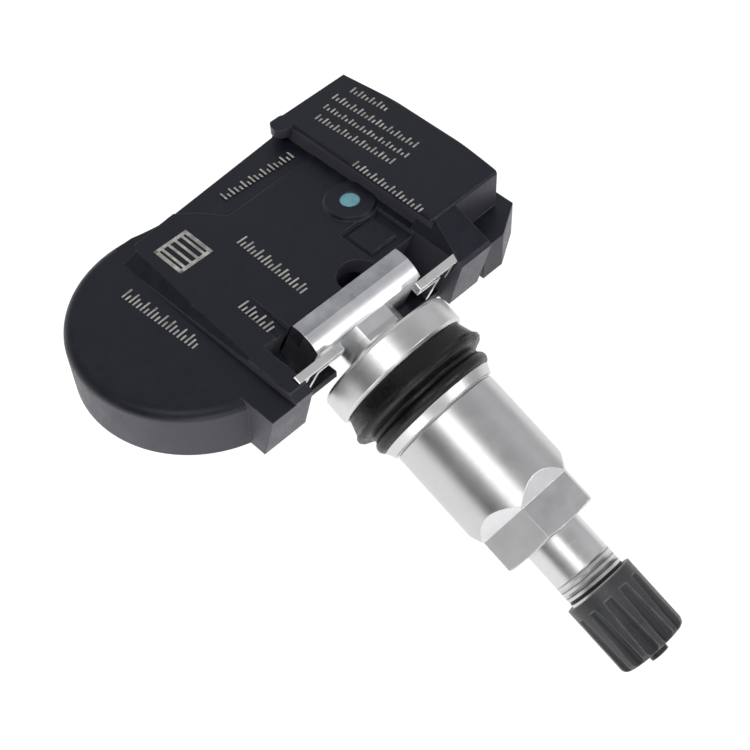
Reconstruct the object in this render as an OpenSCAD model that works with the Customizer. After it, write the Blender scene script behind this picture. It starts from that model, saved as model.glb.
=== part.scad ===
// Tyre pressure sensor with a clamp-in valve
// The origin is the centre of the rim seat on the valve axis. The valve runs out along -Y.

/* [Valve foot] */
// Distance from the swivel axis to the rim seat
pivot_d = 15; // [14.5:0.1:17]
// Diameter of the barrel bar that swivels in the housing
bar_d = 8.4; // [8:0.1:8.8]
// Length of the barrel bar
bar_l = 16.34; // [15:0.1:17]
// Distance from the swivel axis to the front flat of the bar
bar_front = 2.26; // [2:0.05:2.5]
// Distance from the swivel axis to the back flat of the bar
bar_back = 2.1; // [1.9:0.05:2.3]
// Height of the flats on the neck above the axis
neck_flat = 3.54; // [3.2:0.02:3.8]
// Radius between the neck and the flange
neck_fillet = 1.1; // [0.6:0.1:1.2]

/* [Valve flange and stem] */
// Distance from the swivel axis to the back of the flange
flange_back = 5.76; // [5.4:0.05:6.2]
// Thickness of the flange
flange_t = 3.6; // [2.8:0.1:4.2]
// Diameter of the flange
flange_d = 17.9; // [16:0.1:18.5]
// Diameter of the threaded shank
shank_d = 7.5; // [7:0.05:7.8]
// Length of the shank past the rim seat
shank_l = 34; // [32:0.5:38]
// Diameter of the air passage
passage_d = 2.4; // [1.6:0.1:3]

/* [Grommet, washer and nut] */
// Diameter of the grommet's bead
grommet_d = 18.6; // [17:0.1:19.5]
// Diameter of the grommet's outer lip
lip_d = 16.6; // [15.6:0.1:17.5]
// Diameter of the groove between bead and lip
groove_d = 15.6; // [14:0.1:16]
// Thickness of the washer
washer_t = 1.25; // [0.8:0.05:1.6]
// Diameter of the washer on the grommet's side
washer_d = 15.6; // [14.6:0.1:16.4]
// Diameter of the nut's collar
nut_d = 14.1; // [13.4:0.1:14.8]
// Length of the nut
nut_l = 18.1; // [16:0.1:19]
// Width across the nut's flats
hex_af = 12; // [11:0.5:13]
// Length of the nut's hexagon
hex_l = 4.4; // [3.5:0.1:6]
// Length of the sloped run-out behind each flat
runout_l = 1.9; // [1.2:0.1:2.6]
// Clearance between a thread and the bore around it
thread_gap = 0.07; // [0.03:0.01:0.1]

/* [Dust cap] */
// Diameter of the cap
cap_d = 9; // [8.6:0.1:9.6]
// Distance from the stem's tip back to the cap's mouth
cap_grip = 7.06; // [6:0.1:8]
// Thickness of the cap's sealing disc
cap_seal_t = 0.8; // [0.5:0.1:1.2]
// Thickness of the cap's end wall
cap_end_t = 1.35; // [1:0.05:2]
// Number of flutes around the cap
flutes = 12; // [8:1:14]
// Radius of each flute
flute_r = 0.9; // [0.6:0.1:1.1]
// Length of the plain band at the cap's mouth
cap_band = 1.7; // [1:0.1:2.5]

/* [Valve core] */
// Diameter of the core's chamber in the stem
chamber_d = 5.3; // [4.8:0.1:5.6]
// Depth of the core's chamber
chamber_l = 14; // [13.5:0.5:16]
// Length of the core's body
core_l = 8.6; // [8:0.1:9.4]
// Diameter of the core's pin
pin_d = 1.2; // [1:0.1:1.4]
// Diameter of the core's spring wire
wire_d = 0.28; // [0.2:0.02:0.34]
// Turns of the core's spring
spring_turns = 6; // [4:1:8]

/* [Housing] */
// Angle between the valve axis and the housing's deck
swivel = 21.9; // [15:0.5:30]
// Height of the deck above the swivel axis
deck_z = 3.5; // [3.3:0.1:4]
// Height of the round end above the swivel axis
round_z = 2.3; // [2.1:0.1:2.8]
// Height of the raised block above the swivel axis
block_z = 5.85; // [5.5:0.05:7]
// Depth of the housing below the swivel axis
base_d = 5; // [4.9:0.05:5.4]
// Radius of the round end
round_r = 15; // [14.8:0.1:16]
// Edge radius of the round end
round_edge = 1.3; // [0.6:0.1:1.8]
// Edge radius of the raised block
block_edge = 0.5; // [0.3:0.1:0.9]
// Distance from the step to the outer end of the block
block_l = 12.4; // [12:0.1:14]
// Width of the skirt around the foot of the block
skirt_w = 0.7; // [0.4:0.1:1.2]
// Thickness of the side walls
wall = 1.2; // [1:0.1:1.3]
// Thickness of the roof
roof_t = 1; // [0.8:0.05:1]
// Width of the pocket on either side of the bar
pocket_side = 3.95; // [3.6:0.05:4.4]
// Running clearance around the bar
bar_gap = 0.05; // [0.03:0.01:0.1]
// Clearance behind the bar's back flat
back_gap = 0.25; // [0.2:0.05:0.4]
// Reach of the arms in front of the swivel axis
arm_reach = 6.8; // [6:0.1:7.4]

/* [Inside the housing] */
// Thickness of the base cover
cover_t = 0.9; // [0.7:0.05:1]
// Clearance around the base cover
cover_gap = 0.05; // [0.03:0.01:0.15]
// Diameter of the battery
battery_d = 20; // [18:0.5:20]
// Thickness of the battery
battery_t = 5; // [4:0.1:5]
// Thickness of the circuit board
board_t = 1; // [0.8:0.1:1.6]
// Height of the posts under the circuit board
post_h = 2.2; // [1.6:0.1:2.4]
// Thickness of the battery's welded tabs
tab_t = 0.15; // [0.1:0.05:0.2]
// Diameter of the boss around the pressure port
port_d = 6.7; // [6:0.1:7.2]
// Height of the boss around the pressure port
port_h = 0.45; // [0.3:0.05:0.8]
// Diameter of the membrane in the pressure port
membrane_d = 2.5; // [2:0.1:3]
// Height of the wake-up coil
coil_h = 3.6; // [3:0.1:4]
// Diameter of the core inside the wake-up coil
coil_core_d = 2; // [1.4:0.1:2.4]

/* [Retaining clips] */
// Thickness of the clips' sheet
clip_t = 0.45; // [0.3:0.05:0.5]
// Width of the clips' sheet
clip_w = 1; // [0.8:0.05:1.05]
// Distance from the swivel axis to the back edge of the clips
clip_back = 2.9; // [2.8:0.05:3.1]
// Height of the clips' upper run above the valve axis
clip_top = 5.1; // [4.8:0.1:5.3]

/* [Hidden] */
$fn = 72;
eps = 0.01;
far = 60;

// Stations along the valve, measured outward from the rim seat
bar_r = bar_d / 2;
shank_r = shank_d / 2;
neck_start = 2 - pivot_d;
flange_a = flange_back - pivot_d;
flange_b = flange_a + flange_t;
nut_a = washer_t;
nut_b = nut_a + nut_l;
cap_a = shank_l - cap_grip;
seal_b = shank_l + cap_seal_t;
cap_b = seal_b + cap_end_t;
nub_l = 0.9;
nub_r = 1.2;

// Stations of the valve core, measured outward from the rim seat
core_top = shank_l - 1;
core_end = core_top - core_l;
core_floor_t = 0.8;
core_thread_l = 3.4;
core_bore_r = 1.3;
core_barrel_r = 2.05;
pin_top = core_top - 0.4;
collar_t = 0.5;
collar_top = core_top - 1.3;
cup_t = 0.8;
cup_gap = 0.05;
head_t = 0.5;

// Housing plan, seen along +Z in the housing's own frame
base_z = -base_d;
round_c = [-13.6, 11.8];
far_y = 26;
near_y = -0.5;
step_x = 13;
end_x = step_x + block_l;
waist_r = 30;
waist_x = -3.5;
waist_depth = 1;
waist_c = [waist_x, far_y - waist_depth + waist_r];
seat_r = bar_r + bar_gap;
pocket_x = bar_l / 2 + pocket_side;
slot_x = 5;
floor_y = -2.6;
floor_t = 1;
arm_w = 5.9;
arm_undercut = 2;
foot_x = -14.6;
ramp_w = 5;
skirt_z = 0.3;
lug_w = 1.7;

// Levels inside the housing
cover_top = base_z + cover_t;
board_z = cover_top + post_h;
board_top = board_z + board_t;
deck_roof = deck_z - roof_t;
round_roof = round_z - roof_t;
block_roof = block_z - roof_t;
battery_z = cover_top + tab_t;
battery_c = [round_c.x - 3.4, round_c.y + 1.2];
port_c = [10.3, 10.4];
chip_h = board_top + 1.5;
inner_near = seat_r + wall + 0.4;
tab_w = 3;
tab_x = battery_c.x + 11.6;
coil_x = 19;
coil_y = [11, 20.5];

module on_valve(a = 0) {
    translate([0, -a, 0]) rotate([90, 0, 0]) children();
}

module ring(r_out, r_in, a, b) {
    on_valve(a) difference() {
        cylinder(r = r_out, h = b - a);
        translate([0, 0, -eps]) cylinder(r = r_in, h = b - a + 2 * eps);
    }
}

module in_housing() {
    translate([0, pivot_d, 0]) rotate([-swivel, 0, 0]) children();
}

// A layer of the housing between two heights
module layer(low, high) {
    translate([0, 0, low]) linear_extrude(high - low) children();
}

// A box given by its lowest and highest corners
module span(low, high) {
    translate(low) cube(high - low);
}

// What is taken off a square corner at the origin to leave an outer radius
module corner_cut(r) {
    difference() {
        translate([-r, -r]) square(2 * r);
        translate([-r, -r]) circle(r);
    }
}

// Valve

module valve_stem() {
    color("silver") difference() {
        union() {
            barrel_bar();
            neck();
            on_valve(flange_a) rotate_extrude() flange_profile();
            on_valve(flange_b - eps) cylinder(r = shank_r, h = shank_l - flange_b - 0.4 + eps);
            on_valve(shank_l - 0.4) cylinder(r1 = shank_r, r2 = shank_r - 0.4, h = 0.4);
        }
        on_valve(-pivot_d - bar_r) cylinder(d = passage_d, h = pivot_d + bar_r + shank_l, $fn = 32);
        on_valve(shank_l - chamber_l) cylinder(d = chamber_d, h = chamber_l + eps);
        on_valve(shank_l - chamber_l - 1)
            cylinder(d1 = passage_d, d2 = chamber_d, h = 1 + eps);
    }
}

module barrel_bar() {
    intersection() {
        translate([-bar_l / 2, pivot_d, 0]) rotate([0, 90, 0]) cylinder(r = bar_r, h = bar_l, $fn = 96);
        span([-far, pivot_d - bar_front, -far], [far, pivot_d + bar_back, far]);
    }
}

module neck() {
    intersection() {
        on_valve(neck_start) cylinder(r = bar_r, h = flange_a - neck_start + 1);
        span([-far, 0, -neck_flat], [far, far, neck_flat]);
    }
}

module flange_profile() {
    chamfer = 0.35;
    polygon([
        [0, 0], [flange_d / 2 - chamfer, 0], [flange_d / 2, chamfer],
        [flange_d / 2, flange_t - chamfer], [flange_d / 2 - chamfer, flange_t], [0, flange_t]
    ]);
    translate([0, -neck_fillet]) difference() {
        square([bar_r + neck_fillet, neck_fillet + eps]);
        translate([bar_r + neck_fillet, 0]) circle(neck_fillet);
    }
}

module rubber_grommet() {
    color("black") difference() {
        on_valve(flange_b) rotate_extrude() grommet_profile();
        on_valve(flange_b - eps) cylinder(r = shank_r + 0.04, h = -flange_b + 2 * eps);
    }
}

// The bead swells out from the flange, then a groove and a rounded lip
module grommet_profile() {
    length = -flange_b;
    lip_r = 0.85;
    bead_a = 1.9;
    groove_a = length - 2 * lip_r - 0.35;
    polygon([
        [0, 0], [flange_d / 2 - 0.6, 0], [grommet_d / 2 - 0.35, bead_a],
        [grommet_d / 2, bead_a + 0.4], [grommet_d / 2, bead_a + 0.8],
        [grommet_d / 2 - 0.3, bead_a + 1.15], [groove_d / 2, groove_a], [groove_d / 2, length], [0, length]
    ]);
    translate([lip_d / 2 - lip_r, length - lip_r]) circle(lip_r);
}

module thrust_washer() {
    color("silver") difference() {
        on_valve() cylinder(d1 = washer_d, d2 = nut_d + 0.5, h = washer_t - 0.15);
        on_valve(-eps) cylinder(r = shank_r + thread_gap, h = washer_t + 2 * eps);
    }
    color("silver") ring(nut_d / 2 - 0.3, shank_r + thread_gap, washer_t - 0.15, washer_t);
}

module collar_nut() {
    hex_a = nut_b - hex_l;
    color("lightgray") difference() {
        on_valve(nut_a) rotate_extrude() nut_profile();
        for (i = [0 : 5]) on_valve() rotate([0, 0, 60 * i + 30]) flat_cut(hex_a);
        on_valve(nut_a - eps) cylinder(r = shank_r + thread_gap, h = nut_l + 2 * eps);
        on_valve(nut_a - eps) cylinder(r = shank_r + 0.6, h = 1);
    }
}

module nut_profile() {
    chamfer = 0.25;
    nose = 0.3;
    r = nut_d / 2;
    polygon([
        [0, 0], [r - chamfer, 0], [r, chamfer],
        [r, nut_l - nose], [hex_af / 2 - 0.1, nut_l], [0, nut_l]
    ]);
}

// One milled flat of the hexagon with its sloped run-out into the collar
module flat_cut(hex_a) {
    depth = nut_d / 2 - hex_af / 2;
    rotate([90, 0, 0]) linear_extrude(far, center = true) polygon([
        [hex_af / 2, nut_b + 1], [hex_af / 2, hex_a],
        [hex_af / 2 + 2 * depth, hex_a - 2 * runout_l], [far, hex_a - 2 * runout_l], [far, nut_b + 1]
    ]);
}

// Dust cap

module cap_seal() {
    color("black") on_valve(shank_l) cylinder(r = shank_r - 0.25, h = cap_seal_t);
}

module dust_cap() {
    shoulder = 0.7;
    flute_depth = 0.36;
    r = cap_d / 2;
    mouth_r = shank_r + thread_gap;
    color("dimgray") difference() {
        union() {
            on_valve(cap_a) rotate_extrude() difference() {
                square([r, cap_b - cap_a]);
                translate([r, cap_b - cap_a]) corner_cut(shoulder);
            }
            on_valve(cap_b - eps) cylinder(r = nub_r, h = nub_l + eps, $fn = 32);
        }
        on_valve(cap_a - eps) cylinder(r = mouth_r, h = seal_b - cap_a + eps);
        on_valve(cap_a - eps) cylinder(r1 = mouth_r + 0.35, r2 = mouth_r, h = 0.35);
        on_valve(cap_b + nub_l - 0.3) cylinder(r = nub_r - 0.45, h = 1, $fn = 32);
        for (i = [0 : flutes - 1]) on_valve(cap_a + cap_band) rotate([0, 0, 360 * i / flutes])
            translate([r + flute_r - flute_depth, 0, 0]) cylinder(r = flute_r, h = far, $fn = 24);
    }
}

// Valve core

module core_body() {
    color("goldenrod") difference() {
        union() {
            on_valve(core_top - core_thread_l) cylinder(d = chamber_d - 0.06, h = core_thread_l);
            on_valve(core_end) cylinder(r = core_barrel_r, h = core_l - core_thread_l + eps);
        }
        on_valve(core_end + core_floor_t) cylinder(r = core_bore_r, h = core_l);
        on_valve(core_end - eps) cylinder(d = pin_d + 0.16, h = core_l);
        for (side = [-1, 1]) on_valve(core_top - 1.2) translate([side * (core_barrel_r + 0.9), 0, 0.6 + eps])
            cube([2, 1, 1.2], center = true);
    }
}

module core_seal() {
    seal_l = 2;
    color("black") ring(chamber_d / 2 - 0.03, core_barrel_r + 0.02, core_end + 1.4, core_end + 1.4 + seal_l);
}

module core_pin() {
    color("gold") {
        on_valve(core_end - cup_gap - cup_t) cylinder(d = pin_d, h = pin_top - core_end + cup_gap + cup_t, $fn = 32);
        on_valve(core_end - cup_gap - cup_t - head_t) cylinder(r = core_barrel_r - 0.3, h = head_t, $fn = 32);
        on_valve(collar_top - collar_t) cylinder(r = core_bore_r - 0.12, h = collar_t, $fn = 32);
    }
}

module core_cup() {
    color("black") ring(core_barrel_r - 0.1, pin_d / 2 + 0.02, core_end - cup_gap - cup_t, core_end - cup_gap);
}

// A wire of eight sides swept along the spring's helix
module core_spring() {
    sides = 8;
    steps = 16 * spring_turns;
    a = core_end + core_floor_t + wire_d / 2 + 0.02;
    b = collar_top - collar_t - wire_d / 2 - 0.02;
    helix_r = (core_bore_r + pin_d / 2) / 2;
    points = [
        for (i = [0 : steps], k = [0 : sides - 1])
        let (turn = 360 * spring_turns * i / steps, w = 360 * k / sides,
            r = helix_r + wire_d / 2 * cos(w))
        [r * cos(turn), r * sin(turn), a + (b - a) * i / steps + wire_d / 2 * sin(w)]
    ];
    skin = [
        for (i = [0 : steps - 1], k = [0 : sides - 1])
        let (n = (k + 1) % sides)
        [i * sides + k, i * sides + n, (i + 1) * sides + n, (i + 1) * sides + k]
    ];
    start_face = [for (k = [0 : sides - 1]) sides - 1 - k];
    end_face = [for (k = [0 : sides - 1]) steps * sides + k];
    color("gainsboro") on_valve() polyhedron(points, concat(skin, [start_face], [end_face]));
}

// Housing

module housing_shell() {
    color("#24242c") in_housing() difference() {
        union() {
            round_end();
            middle();
            raised_block();
            skirt();
            left_arm();
            right_arm();
            port_boss();
        }
        pocket();
        deck_details();
        inner_space();
        cover_rebate(cover_gap);
        port_hole();
        for (side = [-1, 1]) clip_groove(side);
    }
}

module round_end() {
    height = round_z - base_z;
    translate([round_c.x, round_c.y, base_z]) rotate_extrude($fn = 120) difference() {
        square([round_r, height]);
        translate([round_r, height]) corner_cut(round_edge);
    }
}

module waist_cut() {
    translate(waist_c) circle(waist_r, $fn = 180);
}

// The deck between the round end and the step, with the sloped band along its left side
module middle() {
    layer(base_z, round_z) difference() {
        translate([round_c.x, floor_y]) square([step_x - round_c.x, far_y - floor_y]);
        waist_cut();
    }
    layer(round_z - eps, deck_z) difference() {
        polygon([
            [foot_x + 0.1, -arm_reach + 1], [0, -arm_reach + 1], [0, floor_y], [pocket_x - 1, floor_y],
            [step_x, near_y], [step_x, far_y], [foot_x + 2.4, far_y - 2.1], [foot_x + 2, far_y - 3]
        ]);
        waist_cut();
    }
    band();
}

// A sloped face that is wide at the far end and closes to an edge at the near end
module band() {
    far_end = far_y - 2.6;
    near_end = -arm_reach + 1.2;
    hull() {
        span([foot_x, near_end, round_z - 0.2], [foot_x + 2.2, far_end, round_z - 0.1]);
        span([foot_x, near_end, deck_z - 0.1], [foot_x + 0.4, near_end + 0.1, deck_z]);
        span([foot_x + 1.9, far_end - 0.6, deck_z - 0.1], [foot_x + 2.1, far_end - 0.5, deck_z]);
    }
}

module raised_block() {
    intersection() {
        layer(base_z, block_z) polygon([
            [step_x, near_y], [end_x - 0.9, near_y], [end_x, 8], [end_x, 15.5], [end_x - 1.2, far_y - 0.3],
            [step_x, far_y - 0.3]
        ]);
        edge_profile_x();
        edge_profile_y();
    }
    intersection() {
        layer(round_z, block_z) translate([step_x - lug_w + 1.2, far_y - 1.2]) circle(1.4);
        edge_profile_y();
    }
}

// The block's outline seen along Y, with its long top edges rounded
module edge_profile_x() {
    translate([0, far, 0]) rotate([90, 0, 0]) linear_extrude(2 * far) difference() {
        translate([step_x, base_z]) square([block_l, block_z - base_z]);
        translate([end_x, block_z]) corner_cut(block_edge);
        translate([step_x, block_z]) mirror([1, 0]) corner_cut(block_edge);
    }
}

// The block's outline seen along X, with its short top edges rounded
module edge_profile_y() {
    back = far_y + 0.2;
    rotate([90, 0, 90]) linear_extrude(far) difference() {
        translate([near_y, base_z]) square([back - near_y, block_z - base_z]);
        translate([back, block_z]) corner_cut(block_edge);
        translate([near_y, block_z]) mirror([1, 0]) corner_cut(block_edge);
    }
}

// The low wall that stands out around the foot of the block
module skirt() {
    right_arm_x = pocket_x + ramp_w;
    layer(base_z, skirt_z) polygon([
        [step_x, 0], [right_arm_x + 0.9, 0], [right_arm_x + 0.9, -4.6], [end_x - 4, -4.6],
        [end_x + skirt_w, -1.9], [end_x + skirt_w, far_y - 1.6], [end_x - 0.9, far_y],
        [step_x, far_y]
    ]);
}

// The side outline of an arm: the end face leans back towards the base
module arm_side(top) {
    chamfer = 0.9;
    rotate([90, 0, 90]) linear_extrude(2 * far, center = true) polygon([
        [far, base_z], [arm_undercut - arm_reach, base_z], [-arm_reach, top - chamfer],
        [chamfer * 1.4 - arm_reach, top], [far, top]
    ]);
}

module left_arm() {
    left = -pocket_x - arm_w;
    intersection() {
        arm_side(deck_z);
        span([-far, -far, base_z], [1 - pocket_x, round_c.y, deck_z]);
        translate([0, far / 2, 0]) rotate([90, 0, 0]) linear_extrude(far) polygon([
            [left - 0.3, base_z], [left, round_z], [foot_x, round_z], [foot_x + 0.1, deck_z],
            [0, deck_z], [0, base_z]
        ]);
        layer(base_z, deck_z) polygon([
            [left - 0.5, 1], [left - 0.5, -far], [0, -far], [0, round_c.y], [round_c.x, round_c.y], [round_c.x, 1]
        ]);
    }
}

// The arm beside the block: a ramp falls to its tip and a chamfer falls to the pocket
module right_arm() {
    top = block_z - 0.25;
    intersection() {
        rotate([90, 0, 90]) linear_extrude(far) polygon([
            [2, base_z], [arm_undercut - arm_reach + 0.4, base_z], [-arm_reach + 0.4, deck_z - 0.5],
            [-arm_reach + 0.8, deck_z], [near_y, top], [2, top]
        ]);
        translate([0, far / 2, 0]) rotate([90, 0, 0]) linear_extrude(far) polygon([
            [pocket_x - 1, base_z], [pocket_x - 1, deck_z], [pocket_x, deck_z], [pocket_x + 1.6, top],
            [pocket_x + ramp_w, top], [pocket_x + ramp_w, base_z]
        ]);
    }
}

module port_boss() {
    translate([port_c.x, port_c.y, deck_z - eps]) cylinder(d1 = port_d, d2 = port_d - 0.6, h = port_h + eps);
}

module port_hole() {
    translate([port_c.x, port_c.y, 0]) {
        translate([0, 0, deck_z + port_h - 0.3]) cylinder(d = membrane_d, h = 1, $fn = 48);
        translate([0, 0, deck_roof - 1]) cylinder(d = 1, h = 3, $fn = 32);
    }
}

// Everything that the bar, its neck and the clips need
module pocket() {
    intersection() {
        span([-pocket_x, -far, -far], [pocket_x, far, far]);
        union() {
            span([-far, -far, base_z + floor_t], [far, 0, far]);
            span([-far, -far, -far], [far, floor_y, far]);
            rotate([swivel, 0, 0]) swing_room();
        }
    }
    rotate([swivel, 0, 0]) intersection() {
        bar_seat(bar_l + 0.3);
        span([-far, -far, -far], [far, far, 0]);
    }
    span([-slot_x, -far, -far], [slot_x, 1, 0]);
}

module bar_seat(length) {
    rotate([0, 90, 0]) cylinder(r = seat_r, h = length, center = true, $fn = 96);
}

// What the bar's front half sweeps, up to the clearance behind its back flat
module swing_room() {
    intersection() {
        span([-far, -far, -far], [far, bar_back + back_gap, far]);
        union() {
            span([-far, -far, 0], [far, far, far]);
            bar_seat(far);
        }
    }
}

// Shallow shapes in the deck beside the pocket and along its far edge
module deck_details() {
    step = 0.2;
    recess = 0.55;
    // far strip, a little below the deck
    layer(deck_z - step, deck_z + 1) polygon([
        [waist_x - 5, far_y + 1], [waist_x, far_y - 3.6], [waist_x + 2.2, far_y - 6.6],
        [step_x, far_y - 6.4], [step_x, far_y + 1]
    ]);
    // rounded notch behind the bar
    translate([2.6, 1.1, 0]) cylinder(r = 2.6, h = far);
    // recess with a square pad, bounded by the port boss
    difference() {
        span([5.6, 0, deck_z - recess], [pocket_x - 0.2, 7.4, deck_z + 1]);
        span([6.4, 2.7, 0], [10.4, 6.6, deck_z - 0.15]);
        translate([port_c.x, port_c.y, 0]) cylinder(d = port_d + 0.3, h = far);
    }
    // groove that falls towards the pocket
    groove_x = -10.2;
    translate([groove_x, 0, 0]) rotate([90, 0, 90]) linear_extrude(2.1)
        polygon([[8, deck_z + eps], [8, deck_z], [0, deck_z - 1], [0, deck_z + eps]]);
}

// The cavity's plan, grown by g: the round end, the middle and the block
module inner_plan(g) {
    near = inner_near - g;
    difference() {
        union() {
            translate(round_c) circle(round_r - wall - 0.1 + g, $fn = 120);
            translate([round_c.x, near]) square([step_x - round_c.x + 1, far_y - wall - near + g]);
            translate([step_x + 0.5, near]) square([block_l - wall - 1.7 + g, far_y - 0.3 - wall - near + g]);
        }
        translate(waist_c) circle(waist_r + wall + 0.1 - g, $fn = 180);
        translate([-pocket_x - wall + g, -far]) square([far, far + 3.1 - g]);
        translate([-bar_l / 2 - 1.4 + g, -far]) square([far, far + near]);
    }
}

module inner_space() {
    intersection() {
        layer(base_z - eps, block_roof) inner_plan(0);
        union() {
            span([-far, -far, base_z - 1], [step_x + wall, far, round_roof]);
            span([foot_x + 3.4, -far, base_z - 1], [step_x + wall, far_y - 3.6, deck_roof]);
            span([step_x + wall - eps, -far, base_z - 1], [far, far, block_roof]);
        }
    }
}

module cover_rebate(gap) {
    layer(base_z - eps, cover_top) inner_plan(0.5 + gap);
}

module base_cover() {
    color("#1c1c22") in_housing() {
        layer(base_z, cover_top) inner_plan(0.5);
        for (x = [-3.4, 21.4], y = [8.4, 21.6])
            translate([x, y, cover_top - eps]) cylinder(r = 1.1, h = post_h + eps, $fn = 32);
    }
}

// Retaining clips

// One run of sheet between two points of the clip's front view
module run(p, q) {
    length = norm(q - p);
    translate([(p.x + q.x) / 2, (p.y + q.y) / 2]) rotate(atan2(q.y - p.y, q.x - p.x))
        square([length, clip_t], center = true);
    for (end = [p, q]) translate(end) circle(d = clip_t, $fn = 32);
}

// The sheet folds back under its upper run and then drops beside the bar
module clip_front() {
    outer = pocket_x + 0.6;
    inner = 6.2;
    leg = 9.7;
    path = [
        [outer, clip_top], [inner, clip_top], [inner, clip_top - 1.15],
        [leg, clip_top - 1.45], [leg + 0.25, -2.2]
    ];
    for (i = [0 : len(path) - 2]) run(path[i], path[i + 1]);
    run([outer - 1.3, clip_top], [outer - 1.1, clip_top - 3.2]);
}

module clip(side) {
    color("whitesmoke") on_valve(clip_back - pivot_d) linear_extrude(clip_w)
        mirror([side < 0 ? 1 : 0, 0]) clip_front();
}

module clip_left() {
    clip(-1);
}

module clip_right() {
    clip(1);
}

// The groove in an arm that holds the end of a clip
module clip_groove(side) {
    gap = 0.05;
    rotate([swivel, 0, 0])
        span([side > 0 ? pocket_x - eps : -pocket_x - 1, -clip_back - clip_w - gap, clip_top - clip_t / 2 - gap],
            [side > 0 ? pocket_x + 1 : -pocket_x + eps, -clip_back + gap, clip_top + clip_t / 2 + gap]);
}

// Battery and electronics

module battery_cell() {
    can_r = battery_d / 2;
    crimp = 0.6;
    color("silver") in_housing() translate([battery_c.x, battery_c.y, battery_z]) rotate_extrude($fn = 96) {
        difference() {
            square([can_r, battery_t]);
            translate([can_r, battery_t]) corner_cut(crimp);
            translate([can_r - 1.6, -eps]) square([0.5, 0.35]);
        }
    }
}

module battery_tab_top() {
    z = battery_z + battery_t;
    color("gainsboro") in_housing() translate([0, battery_c.y - tab_w / 2, 0]) {
        span([battery_c.x - 3, 0, z], [tab_x, tab_w, z + tab_t]);
        span([tab_x - tab_t, 0, board_top], [tab_x, tab_w, z + tab_t]);
    }
}

module battery_tab_base() {
    color("gainsboro") in_housing() translate([0, battery_c.y - tab_w / 2, 0]) {
        span([battery_c.x - 3, 0, cover_top], [tab_x, tab_w, cover_top + tab_t]);
        span([tab_x - tab_t, 0, cover_top], [tab_x, tab_w, board_z]);
    }
}

module circuit_board() {
    inset = 0.6;
    color("darkgreen") in_housing() layer(board_z, board_top) intersection() {
        inner_plan(-inset);
        difference() {
            translate([battery_c.x + battery_d / 2 + 0.5, 0]) square(far);
            translate(battery_c) circle(battery_d / 2 + 0.4);
        }
    }
}

module sensor_chip() {
    size = 6;
    color("#303030") in_housing() difference() {
        span([port_c.x - size / 2, port_c.y - size / 2, board_top], [port_c.x + size / 2, port_c.y + size / 2, chip_h]);
        translate([port_c.x, port_c.y, chip_h - 0.8]) cylinder(d = 1.2, h = 1, $fn = 32);
    }
}

module port_seal() {
    color("dimgray") in_housing() translate([port_c.x, port_c.y, chip_h]) difference() {
        cylinder(r = 2, h = deck_roof - chip_h);
        translate([0, 0, -eps]) cylinder(r = 0.9, h = far);
    }
}

module port_membrane() {
    color("#7fb5b8") in_housing() translate([port_c.x, port_c.y, deck_z + port_h - 0.3])
        cylinder(d = membrane_d - 0.04, h = 0.15, $fn = 48);
}

module coil_core() {
    flange = 0.9;
    color("#3a3a3e") in_housing() translate([coil_x, 0, board_top + coil_h / 2]) {
        translate([0, coil_y[1], 0]) rotate([90, 0, 0]) cylinder(d = coil_core_d, h = coil_y[1] - coil_y[0], $fn = 32);
        for (y = [coil_y[0], coil_y[1] - flange])
            translate([-coil_h / 2, y, -coil_h / 2]) cube([coil_h, flange, coil_h]);
    }
}

module coil_winding() {
    gap = 1;
    color("peru") in_housing() translate([coil_x, coil_y[1] - gap, board_top + coil_h / 2]) rotate([90, 0, 0])
        difference() {
            cylinder(d = coil_h - 0.3, h = coil_y[1] - coil_y[0] - 2 * gap, $fn = 48);
            translate([0, 0, -eps]) cylinder(d = coil_core_d + 0.04, h = far, $fn = 32);
        }
}

module crystal() {
    color("lightgray") in_housing() span([1, 17, board_top], [6, 20.2, board_top + 1.2]);
}

module chip_components() {
    spots = [[-3, 10], [-3, 13], [0, 9], [0, 13.4], [3.4, 9], [3.4, 12.6], [10, 17], [13.4, 17.4], [14.4, 9], [14.4, 12.4]];
    color("tan") in_housing() for (spot = spots)
        span([spot.x, spot.y, board_top], [spot.x + 1.6, spot.y + 0.8, board_top + 0.8]);
}

// A bent strip that stands on the board along the outer end of the block
module antenna_strip() {
    strip_w = 1.4;
    strip_t = 0.3;
    top = board_top + 4;
    ends = [9.6, 20.4];
    color("gainsboro") in_housing() translate([end_x - 4, 0, 0]) {
        span([0, ends[0], top - strip_t], [strip_w, ends[1], top]);
        for (y = [ends[0], ends[1] - strip_t])
            span([0, y, board_top], [strip_w, y + strip_t, top]);
    }
}

valve_stem();
rubber_grommet();
core_body();
core_seal();
core_pin();
core_cup();
core_spring();
thrust_washer();
collar_nut();
cap_seal();
dust_cap();
housing_shell();
base_cover();
clip_left();
clip_right();
battery_cell();
battery_tab_top();
battery_tab_base();
circuit_board();
sensor_chip();
port_seal();
port_membrane();
coil_core();
coil_winding();
crystal();
chip_components();
antenna_strip();
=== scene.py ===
import math

import bmesh
import bpy
from mathutils import Matrix, Vector


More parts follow.
